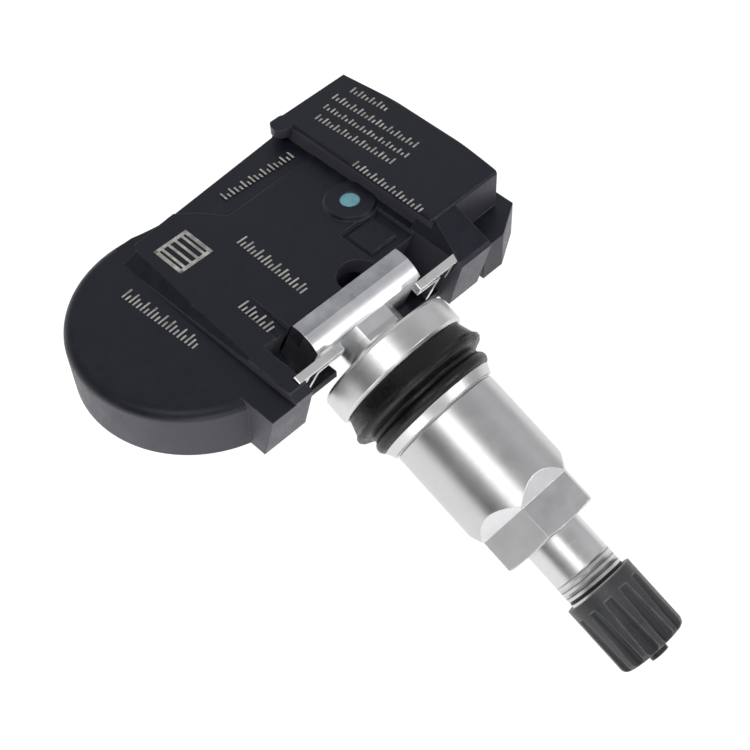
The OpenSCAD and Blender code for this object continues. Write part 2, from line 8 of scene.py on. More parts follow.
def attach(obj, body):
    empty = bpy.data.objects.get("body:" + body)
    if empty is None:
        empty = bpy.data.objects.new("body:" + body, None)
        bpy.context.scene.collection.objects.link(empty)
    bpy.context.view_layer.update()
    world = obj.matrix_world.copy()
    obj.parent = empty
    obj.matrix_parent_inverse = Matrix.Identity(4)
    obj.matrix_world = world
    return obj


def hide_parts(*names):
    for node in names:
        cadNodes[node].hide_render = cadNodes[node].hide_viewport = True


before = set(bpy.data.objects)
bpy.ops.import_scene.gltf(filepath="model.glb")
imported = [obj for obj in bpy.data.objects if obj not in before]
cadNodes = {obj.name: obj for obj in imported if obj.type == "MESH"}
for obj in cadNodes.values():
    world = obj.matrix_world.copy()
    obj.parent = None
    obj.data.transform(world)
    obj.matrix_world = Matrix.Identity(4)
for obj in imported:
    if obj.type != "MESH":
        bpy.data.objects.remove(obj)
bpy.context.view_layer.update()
mm = 0.001
print("frame loaded with", len(cadNodes), "CAD nodes")

# The housing has its own frame: the swivel axis is its origin and +Z points out of its deck
housingSettings = {
    "pivot": (0, 15 * mm, 0),
    "swivel": 21.9,  # degrees
    "deck": 3.5 * mm,
    "roundTop": 2.3 * mm,
    "blockTop": 5.85 * mm,
}
housingFrame = Matrix.Translation(housingSettings["pivot"]) @ Matrix.Rotation(
    -math.radians(housingSettings["swivel"]), 4, "X")


# Node helpers

def addNode(tree, kind, inputs=None, **settings):
    made = tree.nodes.new(kind)
    for key, value in settings.items():
        setattr(made, key, value)
    for key, value in (inputs or {}).items():
        made.inputs[key].default_value = value
    return made


def wire(tree, source, target):
    tree.links.new(source, target)


# A socket takes a plain number or the output of another node
def feed(tree, value, socket):
    if isinstance(value, (int, float)):
        socket.default_value = value
    else:
        wire(tree, value, socket)


def mathNode(tree, operation, first, second=None, clamp=False):
    made = addNode(tree, "ShaderNodeMath", operation=operation, use_clamp=clamp)
    for slot, value in enumerate((first, second)):
        if value is not None:
            feed(tree, value, made.inputs[slot])
    return made.outputs[0]


def remap(tree, value, low, high, toLow, toHigh):
    made = addNode(tree, "ShaderNodeMapRange", {"To Min": toLow, "To Max": toHigh})
    feed(tree, low, made.inputs["From Min"])
    feed(tree, high, made.inputs["From Max"])
    wire(tree, value, made.inputs["Value"])
    return made.outputs["Result"]


def mixColour(tree, factor, first, second):
    made = addNode(tree, "ShaderNodeMix", data_type="RGBA")
    wire(tree, factor, made.inputs["Factor"])
    for socket, value in ((made.inputs[6], first), (made.inputs[7], second)):  # the colour sockets A and B
        if isinstance(value, tuple):
            socket.default_value = (*value, 1)
        else:
            wire(tree, value, socket)
    return made.outputs[2]


def blendValues(tree, mask, first, second):
    made = addNode(tree, "ShaderNodeMix", data_type="FLOAT")
    wire(tree, mask, made.inputs[0])
    wire(tree, first, made.inputs[2])
    wire(tree, second, made.inputs[3])
    return made.outputs[0]


def splitAxes(tree, vector):
    parts = addNode(tree, "ShaderNodeSeparateXYZ")
    wire(tree, vector, parts.inputs[0])
    return parts


# The valve axis is Y
def axisRadius(tree, parts):
    squares = [mathNode(tree, "POWER", parts.outputs[axis], 2.0) for axis in (0, 2)]
    return mathNode(tree, "SQRT", mathNode(tree, "ADD", *squares))


def axisAngle(tree, parts):
    return mathNode(tree, "ARCTAN2", parts.outputs[0], parts.outputs[2])


# An input without a default is a vector, and so is an output called Normal
def newGroup(name, inputs, outputs):
    group = bpy.data.node_groups.new(name, "ShaderNodeTree")
    for label, default in inputs.items():
        kind = "NodeSocketVector" if default is None else "NodeSocketFloat"
        socket = group.interface.new_socket(label, in_out="INPUT", socket_type=kind)
        if default is not None:
            socket.default_value = default
    for label in outputs:
        kind = "NodeSocketVector" if label == "Normal" else "NodeSocketFloat"
        group.interface.new_socket(label, in_out="OUTPUT", socket_type=kind)
    return group, addNode(group, "NodeGroupInput"), addNode(group, "NodeGroupOutput")


def useGroup(tree, group, vector=None, **values):
    made = addNode(tree, "ShaderNodeGroup", node_tree=group)
    for key, value in values.items():
        made.inputs[key].default_value = value
    if vector is not None:
        wire(tree, vector, made.inputs["Vector"])
    return made


# Shared effects

effectSettings = {
    "noise": {  # detail, roughness and distortion
        "grain": (4.0, 0.62, 0.0),
        "grainCloud": (5.0, 0.6, 0.4),
        "lines": (3.0, 0.7, 0.0),
        "lineCloud": (4.0, 0.6, 0.0),
        "edgeBreakup": (5.0, 0.7, 0.0),
    },
    "grainSpread": (0.3, 0.7),
    "cloudShare": 0.09,  # the grain's clouds are this much coarser than the grain
    "lineSpread": (0.32, 0.68),
    "turnedCloud": 260.0,
    "turnedDrift": 0.06 * mm,  # how far a turned line drifts in one radian
    "brushedCloud": 320.0,
    "brushedStretch": (0.02, 1, 1),  # brushed lines run along X
    "edgeBreakupScale": 900.0,
    "edgeSamples": 6,
    "edgeTurn": (0.995, 0.86),
    "edgeBreakupSpread": (0.35, 0.6),
    "edgeBreakupLeast": 0.25,
    "rootDepth": (0.3, 0.05),
    "speckleSpread": (0.35, 0.65),
    "radiusBlend": 0.02 * mm,
    "alongBlend": 0.1 * mm,
}


def addNoise(tree, vector, scale, kind):
    detail, roughness, distortion = effectSettings["noise"][kind]
    made = addNode(tree, "ShaderNodeTexNoise", {
        "Detail": detail, "Roughness": roughness, "Distortion": distortion})
    wire(tree, vector, made.inputs["Vector"])
    feed(tree, scale, made.inputs["Scale"])
    return made.outputs["Fac"]


def buildMouldGrain():
    group, given, result = newGroup("mouldGrain", {"Vector": None, "Scale": 2500.0}, ("Height", "Tone"))
    scale = given.outputs["Scale"]
    cloudScale = mathNode(group, "MULTIPLY", scale, effectSettings["cloudShare"])
    cloud = addNoise(group, given.outputs["Vector"], cloudScale, "grainCloud")
    wire(group, addNoise(group, given.outputs["Vector"], scale, "grain"), result.inputs["Height"])
    wire(group, remap(group, cloud, *effectSettings["grainSpread"], 0, 1), result.inputs["Tone"])
    return group


# Fine lines at the given spots, with slow clouds in their tone
def drawLines(group, given, result, spot, cloudScale):
    cloud = addNoise(group, given.outputs["Vector"], cloudScale, "lineCloud")
    wire(group, addNoise(group, spot, given.outputs["Scale"], "lines"), result.inputs["Height"])
    wire(group, remap(group, cloud, *effectSettings["lineSpread"], 0, 1), result.inputs["Tone"])


def buildTurnedLines():
    group, given, result = newGroup("turnedLines", {"Vector": None, "Scale": 9000.0}, ("Height", "Tone"))
    parts = splitAxes(group, given.outputs["Vector"])
    around = mathNode(group, "MULTIPLY", axisAngle(group, parts), effectSettings["turnedDrift"])
    spot = addNode(group, "ShaderNodeCombineXYZ")
    for socket, value in zip(spot.inputs, (axisRadius(group, parts), parts.outputs[1], around)):
        wire(group, value, socket)
    drawLines(group, given, result, spot.outputs[0], effectSettings["turnedCloud"])
    return group


def buildBrushedLines():
    group, given, result = newGroup("brushedLines", {"Vector": None, "Scale": 9000.0}, ("Height", "Tone"))
    stretch = addNode(group, "ShaderNodeVectorMath", operation="MULTIPLY")
    stretch.inputs[1].default_value = effectSettings["brushedStretch"]
    wire(group, given.outputs["Vector"], stretch.inputs[0])
    drawLines(group, given, result, stretch.outputs[0], effectSettings["brushedCloud"])
    return group


# Painted highlight along edges: a lighter colour where the bevelled normal turns from the face, broken up by
# noise
def buildEdgeHighlight():
    group, given, result = newGroup("edgeHighlight", {"Vector": None, "Radius": 0.2 * mm}, ("Mask", "Normal"))
    soft = addNode(group, "ShaderNodeBevel", samples=effectSettings["edgeSamples"])
    wire(group, given.outputs["Radius"], soft.inputs["Radius"])
    facing = addNode(group, "ShaderNodeVectorMath", operation="DOT_PRODUCT")
    wire(group, soft.outputs[0], facing.inputs[0])
    wire(group, addNode(group, "ShaderNodeNewGeometry").outputs["Normal"], facing.inputs[1])
    broken = addNoise(group, given.outputs["Vector"], effectSettings["edgeBreakupScale"], "edgeBreakup")
    turned = remap(group, facing.outputs["Value"], *effectSettings["edgeTurn"], 0, 1)
    ragged = remap(group, broken, *effectSettings["edgeBreakupSpread"], effectSettings["edgeBreakupLeast"], 1)
    wire(group, mathNode(group, "MULTIPLY", turned, ragged, clamp=True), result.inputs["Mask"])
    wire(group, soft.outputs[0], result.inputs["Normal"])
    return group


# Helical thread on the outside of the stem, as a height and a mask for the root, which is painted darker as
# shade
def buildThread():
    group, given, result = newGroup(
        "threadWave",
        {"Vector": None, "Pitch": 0.8 * mm, "Start": -34 * mm, "End": -24.2 * mm, "Inside": 3.6 * mm},
        ("Height", "RootShade"))
    parts = splitAxes(group, given.outputs["Vector"])
    turns = mathNode(group, "DIVIDE", axisAngle(group, parts), 2 * math.pi)
    along = mathNode(group, "DIVIDE", parts.outputs[1], given.outputs["Pitch"])
    phase = mathNode(group, "FRACT", mathNode(group, "ADD", along, turns))
    offset = mathNode(group, "ABSOLUTE", mathNode(group, "SUBTRACT", phase, 0.5))
    ridge = mathNode(group, "MULTIPLY", offset, 2.0)
    outside = mathNode(group, "GREATER_THAN", axisRadius(group, parts), given.outputs["Inside"])
    past = mathNode(group, "GREATER_THAN", parts.outputs[1], given.outputs["Start"])
    before = mathNode(group, "LESS_THAN", parts.outputs[1], given.outputs["End"])
    zone = mathNode(group, "MULTIPLY", outside, mathNode(group, "MULTIPLY", past, before))
    rootShadeMask = remap(group, ridge, *effectSettings["rootDepth"], 0, 1)
    wire(group, mathNode(group, "MULTIPLY", ridge, zone), result.inputs["Height"])
    wire(group, mathNode(group, "MULTIPLY", rootShadeMask, zone, clamp=True), result.inputs["RootShade"])
    return group


# How far a face is from level, so that upright walls take a lighter colour, painted light on the sides
def buildWallMask():
    group, given, result = newGroup("wallMask", {"Level": 0.55, "Upright": 0.15}, ("Mask",))
    parts = splitAxes(group, addNode(group, "ShaderNodeNewGeometry").outputs["Normal"])
    mask = remap(group, parts.outputs[2], given.outputs["Level"], given.outputs["Upright"], 0, 1)
    wire(group, mask, result.inputs["Mask"])
    return group


# Full below one radius from the valve axis and nothing past another, so that the flutes take painted shade
# and their crests don't
def buildHollowMask():
    group, given, result = newGroup(
        "hollowMask", {"Vector": None, "Low": 4.0 * mm, "High": 4.5 * mm}, ("Mask",))
    radius = axisRadius(group, splitAxes(group, given.outputs["Vector"]))
    mask = remap(group, radius, given.outputs["Low"], given.outputs["High"], 1, 0)
    wire(group, mask, result.inputs["Mask"])
    return group


# The far strip of the bar's back, which is painted darker as shade
def buildStripMask():
    group, given, result = newGroup(
        "stripMask", {"Vector": None, "From": 15 * mm, "Above": 1 * mm}, ("Mask",))
    parts = splitAxes(group, given.outputs["Vector"])
    beyond = mathNode(group, "GREATER_THAN", parts.outputs[1], given.outputs["From"])
    above = mathNode(group, "GREATER_THAN", parts.outputs[2], given.outputs["Above"])
    wire(group, mathNode(group, "MULTIPLY", beyond, above), result.inputs["Mask"])
    return group


patternGroups = {"grain": buildMouldGrain(), "turned": buildTurnedLines(), "brushed": buildBrushedLines()}
edgeGroup = buildEdgeHighlight()
threadGroup = buildThread()
wallGroup = buildWallMask()
hollowGroup = buildHollowMask()
stripGroup = buildStripMask()
print("shared effects built")


# Finishes

# Where a finish changes to its second pattern: past a limit along the valve or inside a radius
def zoneMask(tree, place, zone):
    parts = splitAxes(tree, place)
    if "past" in zone:
        return remap(tree, parts.outputs[1], zone["past"], zone["past"] + effectSettings["alongBlend"], 0, 1)
    inner = zone["insideRadius"] - effectSettings["radiusBlend"]
    near = remap(tree, axisRadius(tree, parts), zone["insideRadius"], inner, 0, 1)
    start = zone["before"] - effectSettings["alongBlend"]
    along = remap(tree, parts.outputs[1], zone["before"], start, 0, 1)
    return mathNode(tree, "MULTIPLY", near, along, clamp=True)


def finishPattern(tree, place, look):
    pattern = useGroup(tree, patternGroups[look["pattern"]], place, Scale=look["scale"])
    height, tone = pattern.outputs["Height"], pattern.outputs["Tone"]
    if "second" not in look:
        return height, tone, None
    second = look["second"]
    other = useGroup(tree, patternGroups[second["pattern"]], place, Scale=second["scale"])
    zone = zoneMask(tree, place, second)
    height = blendValues(tree, zone, height, other.outputs["Height"])
    tone = blendValues(tree, zone, tone, other.outputs["Tone"])
    return height, tone, zone


def finishColour(tree, place, look, tone, zone, thread):
    colour = mixColour(tree, tone, look["dark"], look["light"])
    if zone is not None:
        second = mixColour(tree, tone, look["second"]["dark"], look["second"]["light"])
        colour = mixColour(tree, zone, colour, second)
    # Upright walls get a lighter colour: painted light
    if "walls" in look:
        colour = mixColour(tree, useGroup(tree, wallGroup).outputs["Mask"], colour, look["walls"])
    # The far strip of the bar is painted darker, as shade
    if "strip" in look:
        strip = useGroup(tree, stripGroup, place, **look["strip"]["group"]).outputs["Mask"]
        paintedStripShade = mixColour(tree, tone, look["strip"]["dark"], look["strip"]["light"])
        colour = mixColour(tree, strip, colour, paintedStripShade)
    if "fluteShade" in look:
        # The flutes are painted darker, as shade
        low = useGroup(tree, hollowGroup, place, **look["fluteShade"]["group"]).outputs["Mask"]
        colour = mixColour(tree, low, colour, look["fluteShade"]["colour"])
    if thread is not None:
        # The thread root is painted darker, as shade in the groove
        colour = mixColour(tree, thread.outputs["RootShade"], colour, look["thread"]["rootShadeColour"])
    return colour


def finishRoughness(tree, look, height, tone, zone):
    rough = remap(tree, tone, 0, 1, *look["roughness"])
    if zone is not None:
        second = remap(tree, tone, 0, 1, *look["second"]["roughness"])
        rough = blendValues(tree, zone, rough, second)
    speckle = remap(tree, height, *effectSettings["speckleSpread"], -look["speckle"], look["speckle"])
    return mathNode(tree, "ADD", rough, speckle, clamp=True)


def addBump(tree, height, distance, normal):
    made = addNode(tree, "ShaderNodeBump", {"Strength": 1.0, "Distance": distance})
    wire(tree, height, made.inputs["Height"])
    wire(tree, normal, made.inputs["Normal"])
    return made.outputs[0]


def buildFinish(name, look):
    material = bpy.data.materials.new(name)
    material.use_nodes = True
    tree = material.node_tree
    shader = tree.nodes["Principled BSDF"]
    shader.inputs["Metallic"].default_value = look.get("metallic", 0)
    shader.inputs["Specular IOR Level"].default_value = look.get("specular", 0.5)
    place = addNode(tree, "ShaderNodeTexCoord").outputs["Object"]
    height, tone, zone = finishPattern(tree, place, look)
    edge = useGroup(tree, edgeGroup, place, Radius=look["edgeRadius"])
    thread = None
    if "thread" in look:
        thread = useGroup(tree, threadGroup, place, **look["thread"]["group"])
    colour = finishColour(tree, place, look, tone, zone, thread)
    # The edge colour is a painted highlight laid over the base colour
    edgeLit = mathNode(tree, "MULTIPLY", edge.outputs["Mask"], look["edgeAmount"])
    wire(tree, mixColour(tree, edgeLit, colour, look["edgeColour"]), shader.inputs["Base Color"])
    wire(tree, finishRoughness(tree, look, height, tone, zone), shader.inputs["Roughness"])
    surface = addBump(tree, height, look["bump"], edge.outputs["Normal"])
    if thread is not None:
        surface = addBump(tree, thread.outputs["Height"], look["thread"]["depth"], surface)
    wire(tree, surface, shader.inputs["Normal"])
    return material


finishes = {
    "housing_shell": {
        "pattern": "grain", "scale": 5200.0, "bump": 0.02 * mm, "roughness": (0.36, 0.5), "specular": 0.34,
        "dark": (0.005, 0.006, 0.012), "light": (0.01, 0.012, 0.021), "speckle": 0.1,
        # the walls' colour is painted light on the upright sides
        "walls": (0.075, 0.073, 0.09),
        "edgeRadius": 0.22 * mm, "edgeColour": (0.09, 0.095, 0.12), "edgeAmount": 0.6,
    },
    "base_cover": {
        "pattern": "grain", "scale": 4200.0, "bump": 0.02 * mm, "roughness": (0.48, 0.62), "speckle": 0.1,
        # the walls' colour is painted light on the upright sides
        "dark": (0.014, 0.014, 0.018), "light": (0.022, 0.022, 0.027), "walls": (0.06, 0.06, 0.07),
        "edgeRadius": 0.15 * mm, "edgeColour": (0.07, 0.07, 0.08), "edgeAmount": 0.4,
    },
    "valve_stem": {
        "pattern": "turned", "scale": 9000.0, "bump": 0.002 * mm, "metallic": 1.0, "roughness": (0.32, 0.37),
        "dark": (0.66, 0.66, 0.655), "light": (0.73, 0.73, 0.725), "speckle": 0.04,
        "edgeRadius": 0.12 * mm, "edgeColour": (0.97, 0.97, 0.97), "edgeAmount": 0.7,
        "second": {
            "pattern": "brushed", "scale": 8000.0, "past": 11 * mm, "roughness": (0.3, 0.36),
            "dark": (0.8, 0.81, 0.83), "light": (0.9, 0.9, 0.91),
        },
        # the far strip's colour is painted shade
        "strip": {"group": {"From": 15.2 * mm}, "dark": (0.4, 0.41, 0.44), "light": (0.62, 0.63, 0.67)},
        "thread": {
            "group": {"Pitch": 0.8 * mm, "Start": -34 * mm, "End": -24.2 * mm, "Inside": 3.5 * mm},
            "depth": 0.3 * mm, "rootShadeColour": (0.26, 0.25, 0.23),
        },
    },
    "rubber_grommet": {
        "pattern": "grain", "scale": 3400.0, "bump": 0.03 * mm, "roughness": (0.3, 0.5), "speckle": 0.12,
        "dark": (0.001, 0.001, 0.001), "light": (0.005, 0.005, 0.0045), "specular": 0.38,
        "edgeRadius": 0.3 * mm, "edgeColour": (0.04, 0.04, 0.04), "edgeAmount": 0.25,
    },
    "thrust_washer": {
        "pattern": "turned", "scale": 11000.0, "bump": 0.003 * mm, "metallic": 1.0, "roughness": (0.34, 0.4),
        "dark": (0.62, 0.62, 0.61), "light": (0.7, 0.7, 0.69), "speckle": 0.04,
        "edgeRadius": 0.1 * mm, "edgeColour": (0.97, 0.97, 0.97), "edgeAmount": 0.7,
    },
    "collar_nut": {
        "pattern": "turned", "scale": 12000.0, "bump": 0.002 * mm, "metallic": 1.0, "roughness": (0.32, 0.37),
        "dark": (0.59, 0.59, 0.59), "light": (0.65, 0.65, 0.65), "speckle": 0.04,
        "edgeRadius": 0.12 * mm, "edgeColour": (0.97, 0.97, 0.98), "edgeAmount": 0.8,
        "second": {
            "pattern": "brushed", "scale": 11000.0, "insideRadius": 7.03 * mm, "before": -8.5 * mm,
            "roughness": (0.38, 0.46), "dark": (0.54, 0.54, 0.545), "light": (0.62, 0.62, 0.625),
        },
    },
    "dust_cap": {
        "pattern": "grain", "scale": 3000.0, "bump": 0.03 * mm, "roughness": (0.34, 0.46), "speckle": 0.1,
        "dark": (0.034, 0.035, 0.037), "light": (0.056, 0.057, 0.06), "specular": 0.5,
        # the flutes' colour is painted shade
        "fluteShade": {"group": {"Low": 4.0 * mm, "High": 4.47 * mm}, "colour": (0.014, 0.014, 0.016)},
        "edgeRadius": 0.25 * mm, "edgeColour": (0.27, 0.27, 0.275), "edgeAmount": 0.9,
    },
}
sheetLook = {
    "pattern": "brushed", "scale": 14000.0, "bump": 0.003 * mm, "metallic": 1.0, "roughness": (0.26, 0.34),
    "dark": (0.84, 0.84, 0.83), "light": (0.93, 0.93, 0.92), "speckle": 0.03,
    "edgeRadius": 0.08 * mm, "edgeColour": (0.97, 0.97, 0.97), "edgeAmount": 0.8,
}
brassLook = {
    "pattern": "turned", "scale": 12000.0, "bump": 0.004 * mm, "metallic": 1.0, "roughness": (0.25, 0.4),
    "dark": (0.62, 0.42, 0.16), "light": (0.78, 0.57, 0.27), "speckle": 0.03,
    "edgeRadius": 0.05 * mm, "edgeColour": (0.9, 0.75, 0.45), "edgeAmount": 0.6,
}


def partLook(dark, light, roughness, **changes):
    look = {
        "pattern": "grain", "scale": 3600.0, "bump": 0.01 * mm, "roughness": roughness, "speckle": 0.05,
        "dark": dark, "light": light, "edgeRadius": 0.06 * mm, "edgeColour": light, "edgeAmount": 0.5,
    }
    look.update(changes)
    return look


sealLook = partLook((0.01, 0.01, 0.01), (0.03, 0.03, 0.03), (0.5, 0.65))
finishes.update({
    "clip_left": sheetLook,
    "clip_right": sheetLook,
    "core_body": brassLook,
    "core_pin": brassLook,
    "core_seal": sealLook,
    "core_cup": sealLook,
    "cap_seal": sealLook,
    "core_spring": dict(sheetLook, pattern="grain", scale=6000.0),
    "battery_cell": dict(sheetLook, pattern="grain", scale=5000.0, roughness=(0.18, 0.3)),
    "battery_tab_top": sheetLook,
    "battery_tab_base": sheetLook,
    "antenna_strip": dict(sheetLook, dark=(0.6, 0.55, 0.4), light=(0.75, 0.7, 0.55)),
    "crystal": dict(sheetLook, roughness=(0.25, 0.35)),
    "circuit_board": partLook((0.008, 0.09, 0.035), (0.015, 0.14, 0.06), (0.25, 0.35), specular=0.6),
    "sensor_chip": partLook((0.015, 0.015, 0.016), (0.03, 0.03, 0.032), (0.5, 0.6)),
    "port_seal": partLook((0.12, 0.12, 0.13), (0.18, 0.18, 0.19), (0.6, 0.75)),
    "port_membrane": partLook(
        (0.15, 0.4, 0.46), (0.24, 0.52, 0.58), (0.35, 0.5), scale=9000.0, bump=0.02 * mm),
    "coil_core": partLook((0.03, 0.03, 0.032), (0.05, 0.05, 0.055), (0.4, 0.55)),
    "coil_winding": dict(
        brassLook, dark=(0.5, 0.16, 0.05), light=(0.7, 0.3, 0.12), scale=16000.0, bump=0.03 * mm),
    "chip_components": partLook((0.3, 0.22, 0.15), (0.45, 0.36, 0.27), (0.4, 0.55)),
})


def dressNodes():
    made = {}
    for name, look in finishes.items():
        key = id(look)
        if key not in made:
            made[key] = buildFinish(name + "Finish", look)
        slots = cadNodes[name].data.materials
        slots.clear()
        slots.append(made[key])
    print("finishes on", len(finishes), "CAD nodes")


dressNodes()


# Modelling helpers

def selectOnly(pieces):
    bpy.ops.object.select_all(action="DESELECT")
    for piece in pieces:
        piece.select_set(True)
    bpy.context.view_layer.objects.active = pieces[0]


# A copy with its own mesh
def copyPiece(piece, place):
    copy = piece.copy()
    copy.data = piece.data.copy()
    copy.matrix_world = place
    bpy.context.collection.objects.link(copy)
    return copy


def joinPieces(pieces):
    selectOnly(pieces)
    if len(pieces) > 1:
        bpy.ops.object.join()
    bpy.ops.object.transform_apply(location=True, rotation=True, scale=True)
    return bpy.context.object


def addRod(radius, start, end, sides):
    middle = -(start + end) / 2
    bpy.ops.mesh.primitive_cylinder_add(
        vertices=sides, radius=radius, depth=end - start,
        location=(0, middle, 0), rotation=(math.radians(90), 0, 0))
    return joinPieces([bpy.context.object])


def combine(piece, tool, operation):
    selectOnly([piece])
    step = piece.modifiers.new("combine", "BOOLEAN")
    step.operation = operation
    step.solver = "EXACT"
    step.object = tool
    bpy.ops.object.modifier_apply(modifier=step.name)
    bpy.data.objects.remove(tool)


# Dust cap, with flutes that deepen towards a scalloped end

capSettings = {
    "radius": 4.5 * mm,
    "sides": 96,
    "shoulder": 0.75 * mm,
    "shoulderSteps": 5,
    "bore": 3.82 * mm,
    "roof": 1.35 * mm,
    "band": 1.5 * mm,
    "flutes": 12,
    "fluteRadius": 0.95 * mm,
    "fluteDepth": 0.24 * mm,
    "fluteLength": 12 * mm,
    "fluteSides": 32,
    "lean": 2.7,  # degrees, so that each flute is deeper at the end
    "nub": 1.2 * mm,
    "nubLength": 0.9 * mm,
    "nubRoot": 0.3 * mm,
    "nubSides": 32,
    "dimple": 0.7 * mm,
    "dimpleDepth": 0.4 * mm,
    "dimpleSides": 24,
    "overcut": 1 * mm,
    "near": 0.01 * mm,
    "smooth": 34,  # degrees
}


# The mouth and the end stand where the CAD cap has them, with the nub past the end
def capEnds():
    reach = [-vertex.co.y for vertex in cadNodes["dust_cap"].data.vertices]
    return min(reach), max(reach) - capSettings["nubLength"]


def flutePlace(turn, mouth):
    base = Matrix.Translation((0, -mouth - capSettings["band"], 0))
    start = base @ Matrix.Rotation(math.radians(90), 4, "X")
    reach = capSettings["radius"] + capSettings["fluteRadius"] - capSettings["fluteDepth"]
    beside = start @ Matrix.Rotation(turn, 4, "Z") @ Matrix.Translation((reach, 0, 0))
    lean = Matrix.Rotation(-math.radians(capSettings["lean"]), 4, "Y")
    return beside @ lean @ Matrix.Translation((0, 0, capSettings["fluteLength"] / 2))


def buildFlutes(mouth):
    bpy.ops.mesh.primitive_cylinder_add(
        vertices=capSettings["fluteSides"], radius=capSettings["fluteRadius"],
        depth=capSettings["fluteLength"])
    cutter = bpy.context.object
    turns = [2 * math.pi * step / capSettings["flutes"] for step in range(capSettings["flutes"])]
    flutes = [copyPiece(cutter, flutePlace(turn, mouth)) for turn in turns]
    bpy.data.objects.remove(cutter)
    return joinPieces(flutes)


def roundShoulder(cap, end):
    bpy.ops.object.mode_set(mode="EDIT")
    bpy.ops.mesh.select_mode(type="EDGE")
    bpy.ops.mesh.select_all(action="DESELECT")
    mesh = bmesh.from_edit_mesh(cap.data)
    for edge in mesh.edges:
        edge.select = all(abs(vert.co.y + end) < capSettings["near"] for vert in edge.verts)
    bmesh.update_edit_mesh(cap.data)
    bpy.ops.mesh.bevel(
        offset=capSettings["shoulder"], segments=capSettings["shoulderSteps"], affect="EDGES")
    bpy.ops.object.mode_set(mode="OBJECT")


def buildCap():
    mouth, end = capEnds()
    nubEnd = end + capSettings["nubLength"]
    cap = addRod(capSettings["radius"], mouth, end, capSettings["sides"])
    cap.name = "flutedCap"
    roundShoulder(cap, end)
    combine(cap, buildFlutes(mouth), "DIFFERENCE")
    nub = addRod(capSettings["nub"], end - capSettings["nubRoot"], nubEnd, capSettings["nubSides"])
    combine(cap, nub, "UNION")
    dimpleStart, dimpleEnd = nubEnd - capSettings["dimpleDepth"], nubEnd + capSettings["overcut"]
    dimple = addRod(capSettings["dimple"], dimpleStart, dimpleEnd, capSettings["dimpleSides"])
    combine(cap, dimple, "DIFFERENCE")
    boreStart, boreEnd = mouth - capSettings["overcut"], end - capSettings["roof"]
    bore = addRod(capSettings["bore"], boreStart, boreEnd, capSettings["sides"])
    combine(cap, bore, "DIFFERENCE")
    selectOnly([cap])
    bpy.ops.object.shade_smooth_by_angle(angle=math.radians(capSettings["smooth"]))
    cap.data.materials.clear()
    cap.data.materials.append(cadNodes["dust_cap"].data.materials[0])
    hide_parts("dust_cap")
    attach(cap, "cap")
    print("dust cap modelled with", len(cap.data.polygons), "faces")


buildCap()


# Pale laser marks on the housing, as plain tallies that say nothing

markSettings = {
    "lift": 0.02 * mm,
    "thickness": 0.03 * mm,
    "stroke": 0.24 * mm,
    "pitch": 0.62 * mm,
    "heights": (1.0, 0.55, 1.0, 0.75, 0.55),
    "rows": [  # start, end, top and letter height, in the housing's frame
        ((-17.9, 19.4), (-17.2, 7.3), "roundTop", 1.6 * mm),
        ((-3.6, 15.2), (-3.9, 3.9), "deck", 1.5 * mm),
        ((-10.2, 7.5), (-10.4, 2.2), "deck", 1.5 * mm),
        ((0.4, 21.6), (11.2, 21.0), "deck", 1.3 * mm),
        ((22.4, 22.6), (22.9, 16.9), "blockTop", 1.1 * mm),
        ((20.0, 23.4), (20.6, 9.2), "blockTop", 1.1 * mm),
        ((18.0, 22.9), (18.6, 9.2), "blockTop", 0.9 * mm),
        ((15.9, 22.2), (16.6, 9.2), "blockTop", 1.1 * mm),
        ((13.2, 12.8), (13.1, 1.6), "blockTop", 1.1 * mm),
    ],
    "frame": {"centre": (-8.9, 18.8), "side": 5.0 * mm, "bar": 0.5 * mm, "hatch": 4, "hatchBar": 0.35 * mm},
    "look": partLook((0.22, 0.22, 0.2), (0.68, 0.67, 0.61), (0.6, 0.75), scale=9000.0, bump=0.02 * mm),
}


# One stroke, a unit square with its thickness below it, which every mark is a copy of
def modelStroke():
    bpy.ops.mesh.primitive_plane_add(size=1)
    stroke = bpy.context.object
    selectOnly([stroke])
    step = stroke.modifiers.new("thickness", "SOLIDIFY")
    step.thickness = markSettings["thickness"]
    step.offset = -1
    bpy.ops.object.modifier_apply(modifier=step.name)
    return stroke


def copyStroke(stroke, place, width, height):
    return copyPiece(stroke, place @ Matrix.Diagonal((width, height, 1, 1)))


def drawRow(stroke, start, end, top, tall):
    first, last = Vector(start) * mm, Vector(end) * mm
    angle = math.atan2(*(last - first).yx)
    level = housingSettings[top] + markSettings["lift"]
    row = housingFrame @ Matrix.Translation((*first, level)) @ Matrix.Rotation(angle, 4, "Z")
    strokes = []
    for step in range(int((last - first).length / markSettings["pitch"]) + 1):
        height = tall * markSettings["heights"][step % len(markSettings["heights"])]
        place = row @ Matrix.Translation((step * markSettings["pitch"], height / 2, 0))
        strokes.append(copyStroke(stroke, place, markSettings["stroke"], height))
    return strokes


def drawFrame(stroke):
    square = markSettings["frame"]
    centre = [value * mm for value in square["centre"]]
    middle = housingFrame @ Matrix.Translation((*centre, housingSettings["deck"] + markSettings["lift"]))
    strokes = []
    for turn in range(4):
        edge = middle @ Matrix.Rotation(math.radians(90 * turn), 4, "Z")
        place = edge @ Matrix.Translation((0, (square["side"] - square["bar"]) / 2, 0))
        strokes.append(copyStroke(stroke, place, square["side"], square["bar"]))
    inner = square["side"] - 2 * square["bar"]
    for line in range(square["hatch"]):
        across = inner * ((line + 0.5) / square["hatch"] - 0.5)
        place = middle @ Matrix.Translation((across, 0, 0))
        strokes.append(copyStroke(stroke, place, square["hatchBar"], inner))
    return strokes


